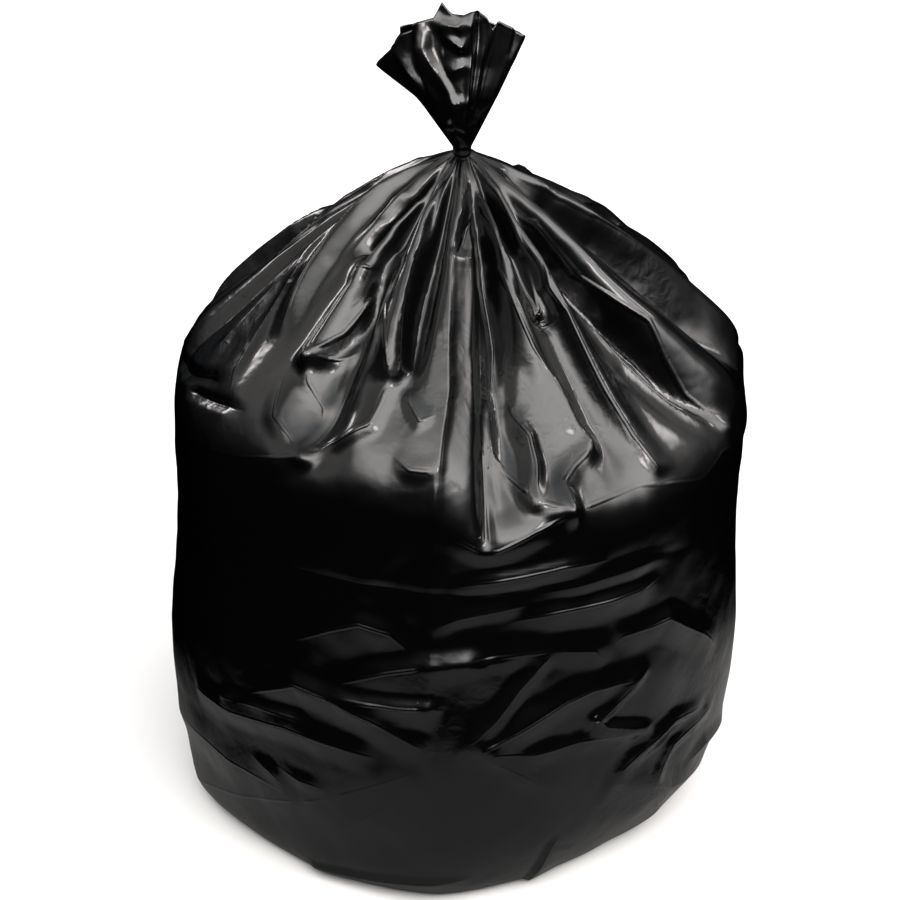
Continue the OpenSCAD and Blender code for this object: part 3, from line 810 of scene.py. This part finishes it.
def film_piece(name, sheet, foot_tip, roof_tip, creases):
    """A closed piece from a grid and two tips, with the crease map as an attribute."""
    rows, columns = sheet.shape[1:]
    points = np.concatenate([sheet.reshape(3, -1).T, [foot_tip, roof_tip]])
    k = np.arange(columns)
    n = (k + 1) % columns
    tip = rows * columns
    last = tip - columns
    foot = np.stack([np.full(columns, tip), n, k], 1)
    roof = np.stack([np.full(columns, tip + 1), last + k, last + n], 1)
    piece = make_mesh(name, (points - middle) * MM, grid_quads(rows, columns),
                      np.concatenate([foot, roof]))
    beside_none = np.tile([FAR, 0.0, 0.0], (2, 1))
    lines = np.concatenate([creases.reshape(3, -1).T, beside_none]).astype(np.float32)
    attribute = piece.data.attributes.new("crease", "FLOAT_VECTOR", "POINT")
    attribute.data.foreach_set("vector", lines.ravel())
    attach(piece, "root")
    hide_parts("refuse_sack")
    print(name, "triangles:", 2 * rows * columns)
    return piece


# %% The sack and its crown
HOLLOW_DIP = np.array([0.0, 0.0, 6.0])

# The frame's middle is the middle of the drawn sack's own width and depth.
middle = np.array([(drawn[0].min() + drawn[0].max()) / 2.0, (drawn[1].min() + drawn[1].max()) / 2.0, 0.0])
sack = film_piece("film_sack", film, [drift(0.0), 0.0, 0.0], film[:, -1].mean(1), sack_creases)
crown_piece = film_piece("film_crown", crown_film, root[:, 0].mean(1),
                         crown_film[:, -1].mean(1) - HOLLOW_DIP, crown_creases)

# %% [markdown]
# The film is black plastic some hundredths of a millimetre thick. Black swallows what light
# goes in, so all that is seen is the gloss: a smooth, clear coat of reflection. A plain
# glossy black would do for that. What makes it film are three kinds of unevenness too low or
# too fine for the grid, put together as one height and used as a bump: soft waves a few
# centimetres long, the sharp crest along each crease, and faint crumples in patches.

# %% Heights for the bump
CREASE_HALF, CREASE_SHARE = 2.6, 0.12
WAVES, WAVE_DETAIL, WAVE_SHARE = 24.0, 2.0, 0.8
CRUMPLES, CRUMPLE_SHARE = 80.0, 0.5
PATCHES, PATCH_FROM, PATCH_TO = 7.0, 0.42, 0.62
SWIRL, CRUMPLE_SWIRL = 0.2, 0.3


def add_node(tree, kind, inputs=None, **settings):
    """A shader node with its settings; each input is set to a value or linked to a socket."""
    node = tree.nodes.new("ShaderNode" + kind)
    for name, value in settings.items():
        setattr(node, name, value)
    for name, value in (inputs or {}).items():
        if isinstance(value, bpy.types.NodeSocket):
            tree.links.new(value, node.inputs[name])
        else:
            node.inputs[name].default_value = value
    return node


def math_node(tree, operation, *values):
    """The result of an operation on one or two values."""
    return add_node(tree, "Math", dict(enumerate(values)), operation=operation).outputs[0]


def noise_node(tree, where, scale, detail, distortion=0.0):
    """A noise texture in space, between 0 and 1."""
    inputs = {"Vector": where, "Scale": scale, "Detail": detail, "Distortion": distortion}
    return add_node(tree, "TexNoise", inputs).outputs["Fac"]


def range_node(tree, value, from_min, from_max, to_min=0.0, to_max=1.0, kind="LINEAR"):
    """A value brought from one range to another, held between its ends."""
    inputs = {"Value": value, "From Min": from_min, "From Max": from_max,
              "To Min": to_min, "To Max": to_max}
    return add_node(tree, "MapRange", inputs, interpolation_type=kind).outputs["Result"]


crinkle = bpy.data.node_groups.new("film_crinkle", "ShaderNodeTree")
crinkle.interface.new_socket("Position", in_out="INPUT", socket_type="NodeSocketVector")
crinkle.interface.new_socket("Crease", in_out="INPUT", socket_type="NodeSocketVector")
crinkle.interface.new_socket("Height", in_out="OUTPUT", socket_type="NodeSocketFloat")
enter = crinkle.nodes.new("NodeGroupInput")
leave = crinkle.nodes.new("NodeGroupOutput")
position = enter.outputs["Position"]

waves = noise_node(crinkle, position, WAVES, WAVE_DETAIL, SWIRL)
waves = math_node(crinkle, "MULTIPLY", waves, WAVE_SHARE)

# The crest along a crease: its height times (1 - (distance / half width) squared) squared.
signed_and_height = add_node(crinkle, "SeparateXYZ", {0: enter.outputs["Crease"]}).outputs
off = math_node(crinkle, "DIVIDE", signed_and_height["X"], CREASE_HALF)
rest = math_node(crinkle, "SUBTRACT", 1.0, math_node(crinkle, "MULTIPLY", off, off))
rest = math_node(crinkle, "MAXIMUM", rest, 0.0)
crest = math_node(crinkle, "MULTIPLY", rest, rest)
crest = math_node(crinkle, "MULTIPLY", crest, signed_and_height["Y"])
crest = math_node(crinkle, "MULTIPLY", crest, CREASE_SHARE)

# Crumples: taking away how far a fine noise is from its middle leaves sharp little ridges.
crumples = noise_node(crinkle, position, CRUMPLES, 1.0, CRUMPLE_SWIRL)
crumples = math_node(crinkle, "ABSOLUTE", math_node(crinkle, "SUBTRACT", crumples, 0.5))
patches = range_node(crinkle, noise_node(crinkle, position, PATCHES, 1.0), PATCH_FROM, PATCH_TO)
crumples = math_node(crinkle, "MULTIPLY", crumples, patches)
crumples = math_node(crinkle, "MULTIPLY", crumples, CRUMPLE_SHARE)

height = math_node(crinkle, "SUBTRACT", math_node(crinkle, "ADD", waves, crest), crumples)
crinkle.links.new(height, leave.inputs["Height"])
print("nodes in the group:", len(crinkle.nodes))

# %% The film's material
FILM_BLACK = (0.0007, 0.0007, 0.0008, 1.0)
FILM_ROUGHNESS, FILM_IOR = 0.16, 1.5
BUMP_HEIGHT = 0.0011


def new_look(name, inputs):
    """A material and its nodes, with inputs of its principled shader set."""
    material = bpy.data.materials.new(name)
    material.use_nodes = True
    for socket, value in inputs.items():
        material.node_tree.nodes["Principled BSDF"].inputs[socket].default_value = value
    return material, material.node_tree


film_look, tree = new_look("black_film", {"Base Color": FILM_BLACK, "Roughness": FILM_ROUGHNESS,
                                          "IOR": FILM_IOR})
group = add_node(tree, "Group", node_tree=crinkle)
tree.links.new(add_node(tree, "TexCoord").outputs["Object"], group.inputs["Position"])
crease_at = add_node(tree, "Attribute", attribute_name="crease")
tree.links.new(crease_at.outputs["Vector"], group.inputs["Crease"])
bump = add_node(tree, "Bump", {"Strength": 1.0, "Distance": BUMP_HEIGHT,
                               "Height": group.outputs["Height"]})
tree.links.new(bump.outputs["Normal"], tree.nodes["Principled BSDF"].inputs["Normal"])
for piece in (sack, crown_piece):
    piece.data.materials.append(film_look)
print("bump, mm:", BUMP_HEIGHT / MM)

# %% [markdown]
# The studio. The sack stands on pale paper that is lit evenly enough to look white. Gloss
# mirrors whatever is around it, and in the photograph the sack's sides are nearly black, so
# little bright floor is mirrored in them: only what lies close to the sack shows, and it
# lifts the lowest part of the film to a dark grey. Black cards laid round a real sack would
# do this. Here the floor's material does it: to mirrored rays it is dim, and goes dark away
# from the sack.

# %% Floor
FLOOR_HALF, FLOOR_DEPTH = 9.0, 0.0003
PAPER_GREY, PAPER_ROUGHNESS = (0.80, 0.80, 0.80, 1.0), 0.9
MIRROR_MIDDLE = (0.08, -0.14, 0.0)
MIRROR_NEAR, MIRROR_FAR, MIRROR_DARK = 0.36, 0.62, 0.78

floor_corners = np.array([[-1, -1, 0], [1, -1, 0], [1, 1, 0], [-1, 1, 0]], float) * FLOOR_HALF
floor_corners[:, 2] = -FLOOR_DEPTH
floor = make_mesh("studio_floor", floor_corners, np.array([[0, 1, 2, 3]]), np.zeros((0, 3), int))
paper, tree = new_look("pale_paper", {"Base Color": PAPER_GREY, "Roughness": PAPER_ROUGHNESS,
                                      "Specular IOR Level": 0.0})
on_floor = add_node(tree, "TexCoord").outputs["Object"]
offset = add_node(tree, "VectorMath", {0: on_floor, 1: MIRROR_MIDDLE}, operation="SUBTRACT")
distance = add_node(tree, "VectorMath", {0: offset.outputs[0]}, operation="LENGTH")
darkness = range_node(tree, distance.outputs["Value"], MIRROR_NEAR, MIRROR_FAR,
                      MIRROR_DARK, 1.0, "SMOOTHSTEP")
mirrored = add_node(tree, "LightPath").outputs["Is Glossy Ray"]
darkness = math_node(tree, "MULTIPLY", darkness, mirrored)
black = add_node(tree, "Emission", {"Strength": 0.0})
mix = add_node(tree, "MixShader", {"Fac": darkness, 1: tree.nodes["Principled BSDF"].outputs[0],
                                   2: black.outputs[0]})
tree.links.new(mix.outputs[0], tree.nodes["Material Output"].inputs["Surface"])
floor.data.materials.append(paper)
floor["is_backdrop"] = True
print("floor:", 2 * FLOOR_HALF, "m across")

# %% [markdown]
# The light. A lamp would leave one hot spot on gloss. A photographer lights black film with
# something large and soft that it can mirror, bright in its middle and fading out, so that
# each facet takes a different grey. The sky does that here: its brightness depends on how
# high a direction points, and on how near it is to the middle of the light, high up in
# front and a little to the right. Three small panels add the few bright touches. The camera
# itself sees plain white instead.

# %% Sky
# Sine of the elevation, brightness there, and how warm it is.
SKY = [
    (0.00, 0.02, -0.10),
    (0.12, 0.04, -0.10),
    (0.30, 0.10, -0.03),
    (0.42, 0.40, 0.00),
    (0.56, 1.00, 0.03),
    (0.80, 0.76, 0.02),
    (0.93, 0.38, 0.02),
    (1.00, 0.21, -0.03),
]
SKY_STRENGTH, SKY_BACK_SHARE = 8.6, 0.11
LIGHT_AZ, LIGHT_EL = 25.0, 60.0
# The cosine of the angle from the light's middle, where it has faded and where it is full.
LIGHT_FADED, LIGHT_FULL = 0.58, 0.98


def direction(azimuth_deg, elevation_deg):
    """A unit vector from an azimuth counted from the front and an elevation, both in degrees."""
    az, el = math.radians(azimuth_deg), math.radians(elevation_deg)
    return np.array([math.cos(el) * math.sin(az), -math.cos(el) * math.cos(az), math.sin(el)])


world = bpy.data.worlds.new("studio")
bpy.context.scene.world = world
world.use_nodes = True
tree = world.node_tree
background = tree.nodes["Background"]
toward = add_node(tree, "TexCoord").outputs["Generated"]
sky = add_node(tree, "ValToRGB", {"Fac": add_node(tree, "SeparateXYZ", {0: toward}).outputs["Z"]})
sky.color_ramp.interpolation = "EASE"
for _ in range(len(SKY) - 2):
    sky.color_ramp.elements.new(0.5)
for element, (sine, bright, warm) in zip(sky.color_ramp.elements, SKY):
    element.position = sine
    element.color = (bright * (1.0 + warm), bright, bright * (1.0 - warm), 1.0)
tree.links.new(sky.outputs["Color"], background.inputs["Color"])
near_light = add_node(tree, "VectorMath", {0: toward, 1: direction(LIGHT_AZ, LIGHT_EL)},
                      operation="DOT_PRODUCT")
strength = range_node(tree, near_light.outputs["Value"], LIGHT_FADED, LIGHT_FULL,
                      SKY_STRENGTH * SKY_BACK_SHARE, SKY_STRENGTH, "SMOOTHERSTEP")
tree.links.new(strength, background.inputs["Strength"])
white = add_node(tree, "Background", {"Color": (1.0, 1.0, 1.0, 1.0)})
seen = add_node(tree, "LightPath").outputs["Is Camera Ray"]
either = add_node(tree, "MixShader", {"Fac": seen, 1: background.outputs[0], 2: white.outputs[0]})
tree.links.new(either.outputs[0], tree.nodes["World Output"].inputs["Surface"])
print("light's middle:", direction(LIGHT_AZ, LIGHT_EL).round(2).tolist())

# %% Glowing panels
PANEL_SIDES, PANEL_FAR, PANEL_SOFT = 32, 2.0, 0.9
PANEL_AIM = np.array([0.0, 0.0, 0.45])
# Name, azimuth, elevation, width and height in metres, strength, colour.
PANELS = [
    ("front_panel", 26.0, 32.0, (0.9, 0.5), 26.0, (1.0, 0.95, 0.93)),
    ("left_panel", -131.0, 26.0, (0.8, 0.5), 14.0, (1.0, 0.96, 0.95)),
    ("right_panel", 96.0, 40.0, (0.8, 0.5), 14.0, (1.0, 0.96, 0.95)),
]


def panel_glow(name, strength, colour):
    """A material that glows by the mesh's own glow attribute: full in the middle, dark at the rim."""
    material, tree = new_look(name, {})
    glow = add_node(tree, "Attribute", attribute_name="glow")
    bright = range_node(tree, glow.outputs["Fac"], 0.0, PANEL_SOFT, 0.0, strength, "SMOOTHSTEP")
    lamp = add_node(tree, "Emission", {"Color": (*colour, 1.0), "Strength": bright})
    tree.links.new(lamp.outputs[0], tree.nodes["Material Output"].inputs["Surface"])
    return material


def panel(name, azimuth_deg, elevation_deg, size, strength, colour):
    """An ellipse of triangles about its centre, which faces the sack and glows."""
    outward = direction(azimuth_deg, elevation_deg)
    centre = PANEL_AIM + PANEL_FAR * outward
    side = np.cross([0.0, 0.0, 1.0], -outward)
    side /= np.linalg.norm(side)
    up = np.cross(-outward, side)
    k = np.arange(PANEL_SIDES)
    round_way = k * math.tau / PANEL_SIDES
    rim = centre + size[0] / 2.0 * np.outer(np.cos(round_way), side)
    rim = rim + size[1] / 2.0 * np.outer(np.sin(round_way), up)
    fan = np.stack([np.full(PANEL_SIDES, PANEL_SIDES), k, (k + 1) % PANEL_SIDES], 1)
    piece = make_mesh(name, np.concatenate([rim, [centre]]), np.zeros((0, 4), int), fan)
    glow = piece.data.attributes.new("glow", "FLOAT", "POINT")
    glow.data.foreach_set("value", np.append(np.zeros(PANEL_SIDES), 1.0))
    piece.data.materials.append(panel_glow(name + "_glow", strength, colour))
    piece.visible_camera = False
    piece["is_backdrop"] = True


for row in PANELS:
    panel(*row)
print(len(PANELS), "panels", PANEL_FAR, "m from the sack")

# %% [markdown]
# The camera looks down on the sack, as the photographer's did, so the foot shows as a wide
# curve. A long lens from a few metres keeps the sides as upright as they are in the
# photograph. The small shifts place the sack in the square picture without turning the
# camera.

# %% Camera
CAMERA_EL, CAMERA_FAR, AIM_H = 25.5, 3.3, 0.360
LENS, FILM_WIDTH = 140.6, 36.0
PHOTO_WIDTH = 900.0
SHIFT_X, SHIFT_Y = -12.0 / PHOTO_WIDTH, -10.0 / PHOTO_WIDTH

aim = np.array([-middle[0] * MM, -middle[1] * MM, AIM_H])
stand = aim + CAMERA_FAR * direction(0.0, CAMERA_EL)
lens = bpy.data.cameras.new("photo_camera")
lens.lens, lens.sensor_width = LENS, FILM_WIDTH
lens.shift_x, lens.shift_y = SHIFT_X, SHIFT_Y
camera = bpy.data.objects.new("photo_camera", lens)
camera.location = stand
camera.rotation_euler = Vector(aim - stand).to_track_quat("-Z", "Y").to_euler()
bpy.context.scene.collection.objects.link(camera)
bpy.context.scene.camera = camera
bpy.context.scene.view_settings.view_transform = "Standard"
print("camera stands at, m:", stand.round(3).tolist())

# %% Sizes, and the end
sizes = {"cad": cad_box, "visual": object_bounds()}
sizes = {name: [list(map(float, corner)) for corner in box] for name, box in sizes.items()}
print("sizes, m:", sizes)
